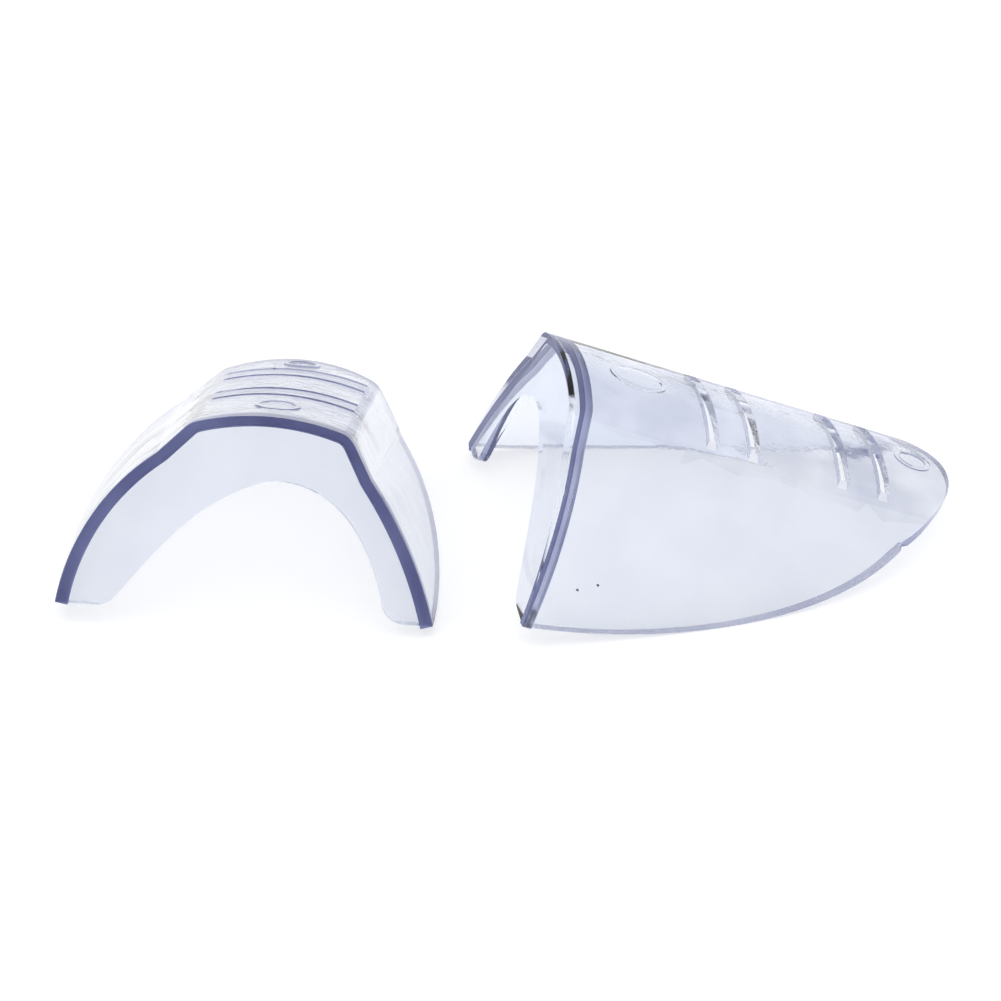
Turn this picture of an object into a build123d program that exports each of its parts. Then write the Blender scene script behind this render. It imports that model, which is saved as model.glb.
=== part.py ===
from build123d import *

import os

# A pair of slip-on side shields for eyeglasses, left and right, lying crest up on a table.
# Millimetres. Each shield is drawn in its own frame: x runs back along the crest from the
# front flange, y runs across, z points up from the line between the two front wing tips.
# The wide wing is on -y of the right shield, and the left shield is its mirror image.

# Wall
WALL = 1.4
TIP_HALF_SPAN = 26.0

# Corners of the outer section, (y, z)
WIDE_FOOT = (-13.0, 21.4)
WIDE_CORNER = (-8.7, 25.75)
CREST_TOP = (2.2, 27.3)
NARROW_CORNER = (13.1, 25.2)
NARROW_FOOT = (16.2, 19.3)

# How far the wings bow out past the straight line from foot to tip
WIDE_BOW = 2.95
NARROW_BOW = 1.2

# The wings lean out towards the rear: mm per mm of length, at the tips and at the feet
WIDE_TIP_FLARE = 0.07
NARROW_TIP_FLARE = 0.11
FOOT_FLARE = 0.02

FOLD_RADIUS = 3.5

# The front leans back at the crest, and the blank runs past both ends before it is trimmed
FRONT_LEAN = 2.5
BLANK_FRONT = -4.0
BLANK_REAR = 60.0
BLANK_BELOW_TIP = 2.0

# Lower edge of each side panel, seen from the side: Bezier points (x, z)
WIDE_EDGE = [(0, 0), (17.6, 2.9), (38.5, 11.9), (49.5, 21.4)]
NARROW_EDGE = [(0, 0), (5.2, 0.9), (30.9, 9.8), (45.1, 19.3)]

# Rounded nose, seen from above, (x, y), from the wide foot round to the narrow foot
NOSE = [(49.5, -13.0), (53.7, -8.7), (57.0, 2.5), (52.1, 13.1), (45.1, 17.1)]

# Arch cut through the front flange, (y, z), and the rounding of the flange's lower tips
ARCH = [(-18.7, 0), (-9.8, 10.8), (-2.2, 16.6), (4.2, 18.4), (10.5, 16.3), (14.9, 11.5), (18.9, 0)]
TIP_RADIUS = 3.0

# Slits across the crest, and the flat ends that the straps meet
SLIT_WIDTH = 1.5
SLITS = {"front": (20.6, 26.8), "rear": (40.3, 46.4)}
STRAP_END = {"wide": -7.6, "narrow": 12.0}

# Blank raised oval rings on the crest: (centre x, centre y), half length, half width
RINGS = [((10.3, 2.2), 4.2, 3.2), ((51.8, 2.4), 2.7, 2.6)]
RING_HEIGHT = 0.2
RING_WIDTH = 0.7

# Rest pose: yaw, pitch and roll in degrees, and where each shield's own origin stands
PITCH = 23.0
ROLL = -1.78
POSES = {
    "left": (-1, 85.8, (-35.26, -29.26, 2.39)),
    "right": (1, 8.3, (-1.46, -8.16, 2.39)),
}


def shield_location(hand, yaw, origin):
    """Where a shield's own frame stands in the pair's frame."""
    return Location(origin) * Rot(0, 0, yaw) * Rot(hand * ROLL, 0, 0) * Rot(0, PITCH, 0)


def in_frame(frame, plane):
    """A plane of the shield's own frame, as it stands in the pair's frame."""
    return Plane(frame * plane.location)


def mirrored(points, hand):
    """The same (across, up) points, on the side where this hand has them."""
    return [(hand * point[0], point[1]) for point in points]


def outer_line(hand, x):
    """Draws the wall's outer line from tip to tip, into the open BuildLine."""
    wide_tip = (-TIP_HALF_SPAN - WIDE_TIP_FLARE * x, -BLANK_BELOW_TIP)
    wide_foot = (WIDE_FOOT[0] - FOOT_FLARE * x, WIDE_FOOT[1])
    narrow_foot = (NARROW_FOOT[0] + FOOT_FLARE * x, NARROW_FOOT[1])
    narrow_tip = (TIP_HALF_SPAN + NARROW_TIP_FLARE * x, -BLANK_BELOW_TIP)
    wide_tip, wide_foot = mirrored([wide_tip, wide_foot], hand)
    crest = mirrored([WIDE_CORNER, CREST_TOP, NARROW_CORNER], hand)
    narrow_foot, narrow_tip = mirrored([narrow_foot, narrow_tip], hand)
    SagittaArc(wide_tip, wide_foot, hand * WIDE_BOW)
    Line(wide_foot, crest[0])
    ThreePointArc(*crest)
    Line(crest[2], narrow_foot)
    SagittaArc(narrow_foot, narrow_tip, hand * NARROW_BOW)


def wall_band(plane, hand, x):
    """The wall's closed outline on a plane across the shield, x back from the front."""
    inward = Side.RIGHT if hand > 0 else Side.LEFT
    with BuildSketch(plane) as band:
        with BuildLine() as path:
            outer_line(hand, x)
            folds = path.vertices().sort_by(Axis.Y)[2:]
            fillet(folds, FOLD_RADIUS)
            offset(amount=WALL, side=inward, kind=Kind.INTERSECTION, closed=True)
        make_face()
    return band.sketch


def above_edge(plane, edge):
    """What the side view keeps of one panel: all above its lower edge, and all of the nose."""
    above = 2 * CREST_TOP[1]
    beyond = BLANK_REAR + WALL
    with BuildSketch(plane) as region:
        with BuildLine():
            Bezier(*edge)
            Line(edge[-1], (beyond, edge[-1][1]))
            Line((beyond, edge[-1][1]), (beyond, above))
            Line((beyond, above), (BLANK_FRONT, above))
            Line((BLANK_FRONT, above), (BLANK_FRONT, edge[0][1]))
            Line((BLANK_FRONT, edge[0][1]), edge[0])
        make_face()
    return region.sketch


def inside_nose(plane, hand):
    """What the top view keeps: everything in front of the rounded nose."""
    nose = [(x, hand * y) for x, y in NOSE]
    wide_out = (NOSE[0][0], -hand * 2 * TIP_HALF_SPAN)
    narrow_out = (NOSE[-1][0], hand * 2 * TIP_HALF_SPAN)
    with BuildSketch(plane) as region:
        with BuildLine():
            Spline(*nose)
            Line(nose[-1], narrow_out)
            Line(narrow_out, (BLANK_FRONT, narrow_out[1]))
            Line((BLANK_FRONT, narrow_out[1]), (BLANK_FRONT, wide_out[1]))
            Line((BLANK_FRONT, wide_out[1]), wide_out)
            Line(wide_out, nose[0])
        make_face()
    return region.sketch


def flange_face(plane, hand):
    """The front flange: the section's outline to the middle of the wall, less the arch."""
    with BuildSketch(plane) as face:
        with BuildLine() as outline:
            outer_line(hand, 0)
            tips = outline.vertices().sort_by(Axis.Y)[:2]
            Line(tips[0], tips[1])
        make_face()
        offset(amount=-WALL / 2, kind=Kind.INTERSECTION)
        with BuildLine():
            arch = Spline(*mirrored(ARCH, hand))
            Line(arch @ 1, (arch @ 1) - (0, TIP_HALF_SPAN))
            Line((arch @ 1) - (0, TIP_HALF_SPAN), (arch @ 0) - (0, TIP_HALF_SPAN))
            Line((arch @ 0) - (0, TIP_HALF_SPAN), arch @ 0)
        make_face(mode=Mode.SUBTRACT)
        with Locations((0, -TIP_HALF_SPAN)):
            Rectangle(4 * TIP_HALF_SPAN, 2 * TIP_HALF_SPAN, mode=Mode.SUBTRACT)
        arch_feet = face.vertices().group_by(Axis.Y)[0].sort_by(Axis.X)[1:3]
        fillet(arch_feet, TIP_RADIUS)
    return face.sketch


def oval_rings(plane, hand):
    """Plain oval rings, seen from above."""
    with BuildSketch(plane) as ovals:
        for (x, y), half_length, half_width in RINGS:
            with Locations((x, hand * y)):
                Ellipse(half_length, half_width)
                Ellipse(half_length - RING_WIDTH, half_width - RING_WIDTH, mode=Mode.SUBTRACT)
    return ovals.sketch


def crest_window(plane, hand, x_front, x_rear):
    """A rectangle across the crest, between the flat ends that the strap meets."""
    width = STRAP_END["narrow"] - STRAP_END["wide"]
    centre = ((x_front + x_rear) / 2, hand * (STRAP_END["narrow"] + STRAP_END["wide"]) / 2)
    with BuildSketch(plane) as window:
        with Locations(centre):
            Rectangle(x_rear - x_front, width)
    return window.sketch


def make_rings(hand, frame):
    """The raised oval rings: the wall's section lifted a little, kept inside each oval."""
    lifted = in_frame(frame * Pos(0, 0, RING_HEIGHT), Plane.YZ)
    top = in_frame(frame, Plane.XY)
    with BuildPart() as rings:
        extrude(wall_band(lifted, hand, 0), BLANK_REAR, lifted.z_dir)
        extrude(oval_rings(top, hand), 2 * CREST_TOP[1], top.z_dir, mode=Mode.INTERSECT)
    return rings.part


def make_shell(hand, frame):
    """The moulded shell: front flange, wall, slits and raised rings."""
    front = in_frame(frame, Plane.YZ)
    side = in_frame(frame, Plane.XZ)
    top = in_frame(frame, Plane.XY)
    lean = in_frame(frame * Rot(0, -FRONT_LEAN, 0), Plane.YZ)
    reach = 2 * TIP_HALF_SPAN
    wide_way = side.z_dir * hand
    with BuildPart() as shell:
        flange = flange_face(front.offset(BLANK_FRONT), hand)
        extrude(flange, 2 * abs(BLANK_FRONT), front.z_dir)
        split(bisect_by=lean.offset(WALL), keep=Keep.BOTTOM)
        bands = [wall_band(front.offset(x), hand, x) for x in (BLANK_FRONT, BLANK_REAR)]
        loft(bands, ruled=True)
        split(bisect_by=lean, keep=Keep.TOP)
        wide_keep = extrude(above_edge(side, WIDE_EDGE), reach, wide_way, mode=Mode.PRIVATE)
        narrow_keep = extrude(above_edge(side, NARROW_EDGE), reach, -wide_way, mode=Mode.PRIVATE)
        add(wide_keep + narrow_keep, mode=Mode.INTERSECT)
        extrude(inside_nose(top, hand), reach, top.z_dir, mode=Mode.INTERSECT)
        for x_front, x_rear in SLITS.values():
            opening = crest_window(top, hand, x_front - SLIT_WIDTH / 2, x_rear + SLIT_WIDTH / 2)
            extrude(opening, reach, top.z_dir, mode=Mode.SUBTRACT)
        add(make_rings(hand, frame))
    return shell


def make_strap(hand, frame, x_front, x_rear):
    """The narrow band of the crest between two slits, cut square at both ends."""
    front = in_frame(frame, Plane.YZ)
    top = in_frame(frame, Plane.XY)
    with BuildPart() as strap:
        extrude(wall_band(front.offset(x_front), hand, x_front), x_rear - x_front, front.z_dir)
        extrude(crest_window(top, hand, x_front, x_rear), 2 * CREST_TOP[1], top.z_dir, mode=Mode.INTERSECT)
    return strap


os.makedirs("parts", exist_ok=True)

for side, (hand, yaw, origin) in POSES.items():
    frame = shield_location(hand, yaw, origin)
    shell = make_shell(hand, frame)
    shell.part.label = f"{side}_shell"
    export_step(shell.part, f"parts/{side}_shell.step")
    for place, (slit_front, slit_rear) in SLITS.items():
        strap = make_strap(hand, frame, slit_front + SLIT_WIDTH / 2, slit_rear - SLIT_WIDTH / 2)
        strap.part.label = f"{side}_{place}_strap"
        export_step(strap.part, f"parts/{side}_{place}_strap.step")
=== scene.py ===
import bmesh
import bpy
import math
from mathutils import Matrix, Vector, noise


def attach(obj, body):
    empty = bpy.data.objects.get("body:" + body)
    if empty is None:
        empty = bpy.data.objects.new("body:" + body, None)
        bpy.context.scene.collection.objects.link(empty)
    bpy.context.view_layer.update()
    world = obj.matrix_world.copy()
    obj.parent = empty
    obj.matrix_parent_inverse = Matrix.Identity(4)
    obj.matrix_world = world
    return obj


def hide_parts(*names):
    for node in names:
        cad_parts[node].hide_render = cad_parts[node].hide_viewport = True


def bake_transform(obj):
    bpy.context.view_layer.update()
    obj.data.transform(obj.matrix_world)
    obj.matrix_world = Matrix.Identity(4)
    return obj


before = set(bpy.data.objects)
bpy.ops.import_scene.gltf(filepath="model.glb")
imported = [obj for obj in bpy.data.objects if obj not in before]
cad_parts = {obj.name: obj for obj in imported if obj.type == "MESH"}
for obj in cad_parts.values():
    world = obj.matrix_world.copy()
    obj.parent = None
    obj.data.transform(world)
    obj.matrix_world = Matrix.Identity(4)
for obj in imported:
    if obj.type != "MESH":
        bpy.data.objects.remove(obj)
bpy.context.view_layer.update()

# Camera: metres, degrees and, for the lens, millimetres
TARGET = Vector((-0.0007, -0.0188, 0.014))
DISTANCE = 1.2666
ELEVATION = 31.5
LENS_MM = 336.5
SENSOR_MM = 36.0
CLIP = (0.05, 20.0)

# Studio: floor size, surround, and each lamp's name, place, size and power
FLOOR_SIZE = 6.0
SURROUND = (0.97, 0.98, 1.0, 1.0)
SURROUND_STRENGTH = 0.9
LAMPS = [("key", (-0.5, -0.3, 0.9), 1.2, 2.5), ("fill", (0.7, 0.5, 0.7), 1.2, 1.5)]

# Vinyl: an index of refraction below the real material's 1.5, and none where pieces join
VINYL_IOR = 1.14
JOINED_IOR = 1.0
COAT_IOR = 1.5
COAT_ROUGHNESS = 0.08
# Sizes of its unevenness, as noise scales per metre, and how sharply its two tints part
RIPPLE_SCALE = 70.0
CLOUD_SCALE = 110.0
HAZE_SCALE = 160.0
CLOUD_LIMITS = (0.35, 0.65)

# From here on lengths are in millimetres, angles in degrees, and places on a shield are
# (back, across, up) from its own origin
MM = 0.001
PITCH = 23.0
ROLL = -1.78
# Each shield: hand, yaw, and where its own origin stands in the frame
SHIELDS = {
    "left": (-1, 85.8, (-35.26, -29.26, 2.39)),
    "right": (1, 8.3, (-1.46, -8.16, 2.39)),
}
WELD = 0.001
SHARP_ANGLE = 32

# Directions, as parts of a face's normal: square to the front, the rear or the crest's width
FRONT_FACING = -0.95
REAR_FACING = 0.9
END_FACING = 0.97

# Front: how it leans back with height, how far back it reaches, what tells the wall's outside
# from the rest, and how the points of its outline are sorted and thinned
LEAN = math.tan(math.radians(2.5))
FRONT_REACH = 2.0
WALL_FACING = 0.5
UNDERSIDE_FACING = -0.7
HOLLOW_MIDDLE_UP = 8.0
SORT_POINT_UP = -30.0
OUTLINE_STEP = 0.3

# Rim: a dark band where wall and flange meet, painted shade for the clear wall seen end-on
RIM_WIDTH = 1.75
RIM_DEPTH = 1.25
RIM_ROUND = 0.16
RIM_FRONT_FACING = -0.3

# Straps: how far back each starts and ends, where its two ends lie across, how many steps it
# is cut into, the crest's middle (across, up), and the gap that keeps touching faces apart
STRAPS = {"front": (21.35, 26.05), "rear": (41.05, 45.65)}
STRAP_ENDS = (-7.6, 12.0)
STRAP_END_REACH = 0.05
STRAP_STEPS = 10
STRAP_SURFACES = ("crest", "edge", "join")
CREST_MIDDLE = (2.2, 27.3)
HAIRLINE = 0.012

# Where each surface of a moulding lies, and how its faces are turned
SLIT_ZONE = (19.0, 48.0)
SLIT_ABOVE = 20
NOSE_FROM = 44
NOSE_LEVEL = 0.3
NOSE_BACKWARD = 0.1
FLANGE_BACK = 1.6
LOWER_EDGE_BELOW = 22.5
LOWER_EDGE_SIDEWAYS = 0.12
LOWER_EDGE_DOWNWARD = -0.1
FOLD_FROM = 10.0
FOLD_ABOVE = 22
FOLD_TILT = (0.65, 0.93)
CREST_ABOVE = 24
CREST_TILT = 0.7

# Flash in the slits and specks in the wall: centres, half sizes, seeds and unevenness
FLASH = [(20.0, 1.2, 26.3), (20.05, 3.9, 26.3), (39.75, 0.9, 26.3), (47.05, 2.6, 26.3)]
FLASH_RADII = (0.24, 0.42, 0.22)
FLASH_SEED_STEP = 3.1
SPECKS = {
    "left": [(3.2, 6.5, 26.2), (52.5, -1.5, 26.5)],
    "right": [(8.0, -23.9, 8.2), (5.5, -24.2, 6.8)],
}
SPECK_RADII = (0.2, 0.2, 0.16)
SPECK_SEED_STEP = 1.7
BLOB_UNEVENNESS = 0.22
BLOB_NOISE_SCALE = 1.3


def shield_matrix(side):
    """From a shield's own millimetres (back, across, up) to the frame's metres."""
    hand, yaw, origin = SHIELDS[side]
    place = Matrix.Translation(Vector(origin) * MM)
    turn = Matrix.Rotation(math.radians(yaw), 4, "Z")
    turn = turn @ Matrix.Rotation(math.radians(hand * ROLL), 4, "X")
    turn = turn @ Matrix.Rotation(math.radians(PITCH), 4, "Y")
    return place @ turn @ Matrix.Diagonal((MM, hand * MM, MM, 1.0))


def add_node(tree, kind, **inputs):
    """A shader node with its inputs set or linked, by socket name."""
    node = tree.nodes.new(kind)
    for name, value in inputs.items():
        socket = node.inputs[name.replace("_", " ")]
        if isinstance(value, bpy.types.NodeSocket):
            tree.links.new(value, socket)
        else:
            socket.default_value = value
    return node


def new_material(name):
    """An empty node material with its output node."""
    material = bpy.data.materials.new(name)
    material.use_nodes = True
    tree = material.node_tree
    tree.nodes.clear()
    return material, tree, tree.nodes.new("ShaderNodeOutputMaterial")


def two_tone(tree, place, dark, light):
    """A cloudy blend of two colours."""
    cloud = add_node(tree, "ShaderNodeTexNoise", Vector=place, Scale=CLOUD_SCALE, Detail=3.0)
    ramp = tree.nodes.new("ShaderNodeValToRGB")
    ramp.color_ramp.elements[0].position = CLOUD_LIMITS[0]
    ramp.color_ramp.elements[0].color = dark + (1.0,)
    ramp.color_ramp.elements[1].position = CLOUD_LIMITS[1]
    ramp.color_ramp.elements[1].color = light + (1.0,)
    tree.links.new(cloud.outputs["Fac"], ramp.inputs["Fac"])
    return ramp.outputs["Color"]


def vinyl(name, dark, light, clear, rough, ripple, peel_scale, peel, gloss, ior=VINYL_IOR):
    """Moulded vinyl: cloudy tint, varied gloss, shallow ripples and a fine surface grain.

    clear is how much light passes, rough the range of roughness, ripple and peel the heights
    of the two bumps in metres, and gloss the weight of the shiny top layer.
    """
    material, tree, output = new_material(name)
    place = tree.nodes.new("ShaderNodeTexCoord").outputs["Object"]
    waves = add_node(tree, "ShaderNodeTexNoise", Vector=place, Scale=RIPPLE_SCALE, Detail=1.5)
    grain = add_node(tree, "ShaderNodeTexNoise", Vector=place, Scale=peel_scale, Detail=2.0)
    coarse = add_node(
        tree, "ShaderNodeBump", Strength=1.0, Distance=ripple, Height=waves.outputs["Fac"]
    )
    fine = add_node(
        tree,
        "ShaderNodeBump",
        Strength=1.0,
        Distance=peel,
        Height=grain.outputs["Fac"],
        Normal=coarse.outputs["Normal"],
    )
    haze = add_node(tree, "ShaderNodeTexNoise", Vector=place, Scale=HAZE_SCALE, Detail=3.0)
    spread = add_node(tree, "ShaderNodeMapRange", Value=haze.outputs["Fac"])
    spread.inputs["To Min"].default_value = rough[0]
    spread.inputs["To Max"].default_value = rough[1]
    shader = add_node(
        tree,
        "ShaderNodeBsdfPrincipled",
        Base_Color=two_tone(tree, place, dark, light),
        Roughness=spread.outputs["Result"],
        IOR=ior,
        Transmission_Weight=clear,
        Normal=fine.outputs["Normal"],
        Coat_Weight=gloss,
        Coat_Roughness=COAT_ROUGHNESS,
        Coat_IOR=COAT_IOR,
        Coat_Normal=fine.outputs["Normal"],
    )
    tree.links.new(shader.outputs["BSDF"], output.inputs["Surface"])
    return material


def paper():
    """The pale seamless table top, which gives off a little light of its own."""
    material, tree, output = new_material("seamless_paper")
    place = tree.nodes.new("ShaderNodeTexCoord").outputs["Object"]
    grain = add_node(tree, "ShaderNodeTexNoise", Vector=place, Scale=1500.0, Detail=2.0)
    bump = add_node(
        tree, "ShaderNodeBump", Strength=0.05, Distance=0.00002, Height=grain.outputs["Fac"]
    )
    shader = add_node(
        tree,
        "ShaderNodeBsdfPrincipled",
        Base_Color=(0.6, 0.6, 0.6, 1.0),
        Roughness=0.9,
        Normal=bump.outputs["Normal"],
        Emission_Color=(1.0, 1.0, 1.0, 1.0),
        Emission_Strength=0.5,
    )
    tree.links.new(shader.outputs["BSDF"], output.inputs["Surface"])
    return material


def build_stage():
    """Floor, studio light and a pale surround."""
    bpy.ops.mesh.primitive_plane_add(size=FLOOR_SIZE, location=(0, 0, 0))
    floor = bpy.context.object
    floor.name = "floor"
    floor.data.materials.append(paper())
    scene = bpy.context.scene
    world = bpy.data.worlds.new("studio")
    world.use_nodes = True
    background = world.node_tree.nodes["Background"]
    background.inputs["Color"].default_value = SURROUND
    background.inputs["Strength"].default_value = SURROUND_STRENGTH
    scene.world = world
    scene.view_settings.view_transform = "Standard"
    for name, place, size, power in LAMPS:
        data = bpy.data.lights.new(name, "AREA")
        data.size = size
        data.energy = power
        lamp = bpy.data.objects.new(name, data)
        lamp.location = place
        lamp.rotation_euler = (-Vector(place)).to_track_quat("-Z", "Y").to_euler()
        scene.collection.objects.link(lamp)


def build_camera():
    """The photograph's viewing angle: a long lens, looking down along +Y."""
    data = bpy.data.cameras.new("camera")
    data.lens = LENS_MM
    data.sensor_width = SENSOR_MM
    data.clip_start, data.clip_end = CLIP
    camera = bpy.data.objects.new("camera", data)
    tilt = math.radians(ELEVATION)
    away = Vector((0, math.cos(tilt), -math.sin(tilt)))
    camera.location = TARGET - DISTANCE * away
    camera.rotation_euler = away.to_track_quat("-Z", "Y").to_euler()
    bpy.context.scene.collection.objects.link(camera)
    bpy.context.scene.camera = camera


def move(shape, side, matrix):
    """Transforms a shape, keeping its faces outward on the mirrored shield."""
    shape.transform(matrix)
    if SHIELDS[side][0] < 0:
        bmesh.ops.reverse_faces(shape, faces=shape.faces)


def own_copy(node, side):
    """A CAD node's mesh, copied, welded and put in its shield's own millimetres."""
    shape = bmesh.new()
    shape.from_mesh(node.data)
    move(shape, side, shield_matrix(side).inverted())
    bmesh.ops.remove_doubles(shape, verts=shape.verts, dist=WELD)
    return shape


def finished_object(name, shape, side, materials):
    """The shape put back in the frame, with smooth faces and crisp edges.

    The copied CAD mesh's own shading normals no longer fit after the move, so they go.
    """
    move(shape, side, shield_matrix(side))
    mesh = bpy.data.meshes.new(name)
    shape.to_mesh(mesh)
    shape.free()
    if "custom_normal" in mesh.attributes:
        mesh.attributes.remove(mesh.attributes["custom_normal"])
    for material in materials:
        mesh.materials.append(material)
    for polygon in mesh.polygons:
        polygon.use_smooth = True
    mesh.set_sharp_from_angle(angle=math.radians(SHARP_ANGLE))
    piece = bpy.data.objects.new(name, mesh)
    bpy.context.scene.collection.objects.link(piece)
    return piece


def surface_of(face):
    """Which of a moulding's surfaces a face belongs to, by its place and direction."""
    back, across, up = face.calc_center_median()
    normal = face.normal
    inside_slits = SLIT_ZONE[0] < back < SLIT_ZONE[1] and up > SLIT_ABOVE
    near_lower_edge = back > FLANGE_BACK and up < LOWER_EDGE_BELOW
    faces_down = abs(normal.y) < LOWER_EDGE_SIDEWAYS and normal.z < LOWER_EDGE_DOWNWARD
    if back > NOSE_FROM and abs(normal.z) < NOSE_LEVEL and normal.x > NOSE_BACKWARD:
        return "nose"
    if near_lower_edge and faces_down:
        return "edge"
    if inside_slits and normal.x > REAR_FACING:
        return "edge"
    if inside_slits and abs(normal.y) > END_FACING:
        return "join"
    # The fold on one side of the crest takes a darker tint, painted shade where the wall bends
    if up > FOLD_ABOVE and across > FOLD_FROM and FOLD_TILT[0] < abs(normal.z) < FOLD_TILT[1]:
        return "fold"
    if up > CREST_ABOVE and abs(normal.z) > CREST_TILT:
        return "crest"
    return "panel"


def build_shell(side):
    """The moulded shell, with a material for each of its surfaces."""
    node_name = f"{side}_shell"
    shape = own_copy(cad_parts[node_name], side)
    kinds = list(SURFACES)
    for face in shape.faces:
        face.material_index = kinds.index(surface_of(face))
    piece = finished_object(f"{side}_moulding", shape, side, SURFACES.values())
    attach(piece, f"{side}_shield")
    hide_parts(node_name)


def is_front(face):
    """True on the flat front of a shell."""
    return face.normal.x < FRONT_FACING and face.calc_center_median().x < FRONT_REACH


def on_outline(edge):
    """True where the flat front meets the outside of the wall."""
    if len(edge.link_faces) != 2:
        return False
    fronts = [face for face in edge.link_faces if is_front(face)]
    others = [face for face in edge.link_faces if abs(face.normal.x) < WALL_FACING]
    if len(fronts) != 1 or len(others) != 1:
        return False
    middle = (edge.verts[0].co + edge.verts[1].co) / 2
    normal = others[0].normal
    outward = normal.y * middle.y + normal.z * (middle.z - HOLLOW_MIDDLE_UP) > 0
    return normal.z > UNDERSIDE_FACING and outward


def front_outline(side):
    """The outer line of the shell's front, (across, up), from wing tip to wing tip."""
    shape = own_copy(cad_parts[f"{side}_shell"], side)
    found = set()
    for edge in filter(on_outline, shape.edges):
        found.update((round(vert.co.y, 3), round(vert.co.z, 3)) for vert in edge.verts)
    shape.free()
    ordered = sorted(found, key=lambda point: math.atan2(point[0], point[1] - SORT_POINT_UP))
    line = [Vector(ordered[0])]
    for point in ordered[1:]:
        if (Vector(point) - line[-1]).length > OUTLINE_STEP:
            line.append(Vector(point))
    return line


def sweep(shape, rings):
    """Skins closed rings of points into one closed solid."""
    loops = [[shape.verts.new(point) for point in ring] for ring in rings]
    count = len(loops[0])
    for here, there in zip(loops, loops[1:]):
        for i in range(count):
            j = (i + 1) % count
            shape.faces.new((here[i], here[j], there[j], there[i]))
    shape.faces.new(loops[0][::-1])
    shape.faces.new(loops[-1])


def rim_ring(line, i):
    """The rim's rounded section at one point of the front's outline."""
    last = len(line) - 1
    before = (line[max(i, 1)] - line[max(i, 1) - 1]).normalized()
    after = (line[min(i + 1, last)] - line[min(i + 1, last) - 1]).normalized()
    along = (before + after).normalized()
    inward = Vector((along.y, -along.x)) / along.dot(after)
    section = (
        (HAIRLINE, RIM_DEPTH),
        (HAIRLINE, RIM_ROUND),
        (RIM_ROUND, -HAIRLINE),
        (RIM_WIDTH - RIM_ROUND, -HAIRLINE),
        (RIM_WIDTH, RIM_ROUND),
        (RIM_WIDTH, RIM_DEPTH),
    )
    ring = []
    for inset, back in section:
        across, up = line[i] + inward * inset
        ring.append(Vector((up * LEAN + back, across, up)))
    return ring


def build_rim(side):
    """Painted shade: a dark ribbon where the wall meets the flange, following the front's outer
    line.
    """
    line = front_outline(side)
    shape = bmesh.new()
    sweep(shape, [rim_ring(line, i) for i in range(len(line))])
    bmesh.ops.recalc_face_normals(shape, faces=shape.faces)
    for face in shape.faces:
        # The front faces carry the painted shade, the sides a lighter violet tint
        face.material_index = 0 if face.normal.x < RIM_FRONT_FACING else 1
    piece = finished_object(f"{side}_rim", shape, side, [PAINTED_SHADE_RIM, RIM_SIDE])
    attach(piece, f"{side}_shield")


def blob(name, side, centre, radii, seed, material):
    """A small uneven lump of vinyl, riding on its shell."""
    shape = bmesh.new()
    bmesh.ops.create_icosphere(shape, subdivisions=3, radius=1.0)
    for vert in shape.verts:
        place = vert.co * BLOB_NOISE_SCALE + Vector((seed, 0, 0))
        bump = 1 + BLOB_UNEVENNESS * noise.noise(place)
        vert.co = Vector(centre) + Vector(c * r for c, r in zip(vert.co, radii)) * bump
    piece = finished_object(name, shape, side, [material])
    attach(piece, f"{side}_shield")


def build_flash(side):
    """Torn webs of flash left on the shell's side of the slits, near the crest's middle."""
    for i, centre in enumerate(FLASH):
        blob(f"{side}_flash_{i + 1}", side, centre, FLASH_RADII, FLASH_SEED_STEP * i, RIM_SIDE)


def build_specks(side):
    """Specks caught in the wall when it was moulded."""
    for i, centre in enumerate(SPECKS[side]):
        blob(f"{side}_speck_{i + 1}", side, centre, SPECK_RADII, SPECK_SEED_STEP * i, SPECK)


def half_strap(node_name, side, end):
    """One half of a strap, from an end to the crest's middle, closed and cut into short steps."""
    middle = CREST_MIDDLE[0]
    outward = -1 if end < middle else 1
    shape = own_copy(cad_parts[node_name], side)
    for step in range(STRAP_STEPS):
        first = step == 0
        bmesh.ops.bisect_plane(
            shape,
            geom=shape.verts[:] + shape.edges[:] + shape.faces[:],
            dist=WELD / 2,
            plane_co=Vector((0, middle + (end - middle) * step / STRAP_STEPS, 0)),
            plane_no=Vector((0, -outward, 0)),
            clear_outer=first,
        )
        if first:
            opening = [edge for edge in shape.edges if edge.is_boundary]
            bmesh.ops.holes_fill(shape, edges=opening, sides=0)
    for vert in shape.verts:
        if abs(vert.co.y - end) < STRAP_END_REACH:
            vert.co.y -= outward * HAIRLINE
    bmesh.ops.recalc_face_normals(shape, faces=shape.faces)
    for face in shape.faces:
        if abs(face.normal.y) > END_FACING:
            face.material_index = STRAP_SURFACES.index("join")
        elif face.normal.x > REAR_FACING:
            face.material_index = STRAP_SURFACES.index("edge")
        else:
            face.material_index = STRAP_SURFACES.index("crest")
    return shape


def build_strap(side, place):
    """A strap in two halves, each reaching from its end on the shell to the crest's middle."""
    node_name = f"{side}_{place}_strap"
    surfaces = [SURFACES[kind] for kind in STRAP_SURFACES]
    for half, end in zip(("wide", "narrow"), STRAP_ENDS):
        shape = half_strap(node_name, side, end)
        piece = finished_object(f"{node_name}_{half}", shape, side, surfaces)
        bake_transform(piece)
        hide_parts(node_name)


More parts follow.
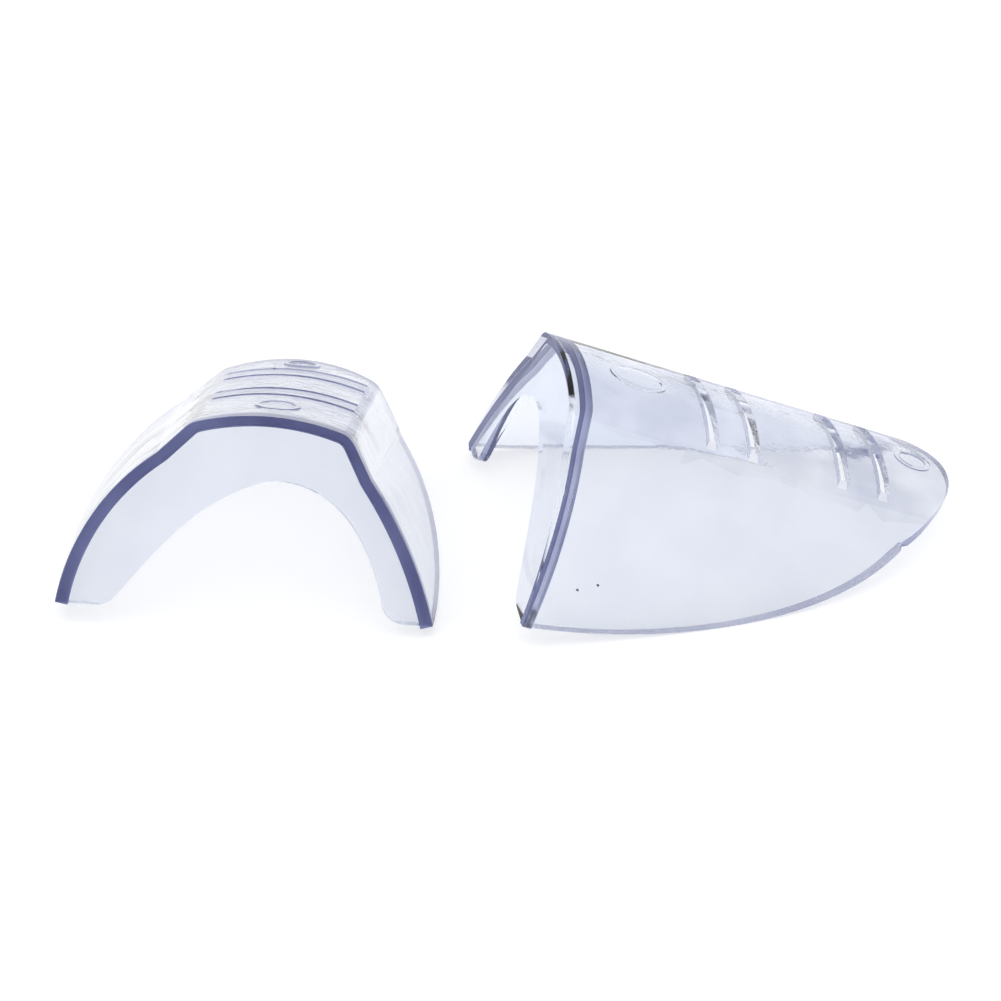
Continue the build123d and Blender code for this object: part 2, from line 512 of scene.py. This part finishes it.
build_camera()
build_stage()
# Painted shade: the rim's dark slate-violet stands in for the clear wall looking dark seen end-on
PAINTED_SHADE_RIM = vinyl(
    "vinyl_rim_painted_shade",
    dark=(0.14, 0.15, 0.33),
    light=(0.2, 0.22, 0.42),
    clear=0.2,
    rough=(0.3, 0.5),
    ripple=0.0,
    peel_scale=900.0,
    peel=0.00001,
    gloss=0.2,
)
RIM_SIDE = vinyl(
    "vinyl_rim_side",
    dark=(0.46, 0.48, 0.68),
    light=(0.62, 0.64, 0.80),
    clear=0.8,
    rough=(0.2, 0.4),
    ripple=0.0,
    peel_scale=900.0,
    peel=0.00001,
    gloss=0.2,
)
SPECK = vinyl(
    "vinyl_speck",
    dark=(0.10, 0.10, 0.16),
    light=(0.2, 0.2, 0.28),
    clear=0.3,
    rough=(0.4, 0.6),
    ripple=0.0,
    peel_scale=900.0,
    peel=0.00001,
    gloss=0.1,
)
SURFACES = {
    "panel": vinyl(
        "vinyl_panel",
        dark=(0.81, 0.835, 0.90),
        light=(0.845, 0.87, 0.93),
        clear=1.0,
        rough=(0.02, 0.08),
        ripple=0.0001,
        peel_scale=900.0,
        peel=0.000004,
        gloss=0.1,
    ),
    "crest": vinyl(
        "vinyl_crest",
        dark=(0.68, 0.705, 0.79),
        light=(0.85, 0.87, 0.92),
        clear=1.0,
        rough=(0.05, 0.2),
        ripple=0.0003,
        peel_scale=700.0,
        peel=0.00006,
        gloss=0.1,
    ),
    # Painted shade: the fold's darker tone is shade painted where the wall bends; its clouding
    # varies at random
    "fold": vinyl(
        "vinyl_fold_painted_shade",
        dark=(0.36, 0.39, 0.56),
        light=(0.74, 0.76, 0.86),
        clear=1.0,
        rough=(0.05, 0.2),
        ripple=0.0003,
        peel_scale=700.0,
        peel=0.00005,
        gloss=0.05,
    ),
    # Painted shade: the violet tint on the cut edges stands in for the clear wall looking darker
    # seen end-on
    "edge": vinyl(
        "vinyl_cut_edge_painted_shade",
        dark=(0.46, 0.48, 0.68),
        light=(0.58, 0.60, 0.78),
        clear=0.7,
        rough=(0.15, 0.35),
        ripple=0.0,
        peel_scale=1500.0,
        peel=0.00001,
        gloss=0.3,
    ),
    # Painted shade: the nose edge's dark violet stands in for the clear wall looking dark seen
    # end-on
    "nose": vinyl(
        "vinyl_nose_edge_painted_shade",
        dark=(0.26, 0.28, 0.46),
        light=(0.42, 0.44, 0.62),
        clear=0.5,
        rough=(0.15, 0.35),
        ripple=0.0,
        peel_scale=1500.0,
        peel=0.00001,
        gloss=0.3,
    ),
    "join": vinyl(
        "vinyl_join",
        dark=(0.96, 0.97, 0.99),
        light=(0.99, 0.99, 1.0),
        clear=1.0,
        rough=(0.0, 0.02),
        ripple=0.0,
        peel_scale=900.0,
        peel=0.0,
        gloss=0.0,
        ior=JOINED_IOR,
    ),
}
for side in SHIELDS:
    build_shell(side)
    build_rim(side)
    build_flash(side)
    build_specks(side)
    for place in STRAPS:
        build_strap(side, place)
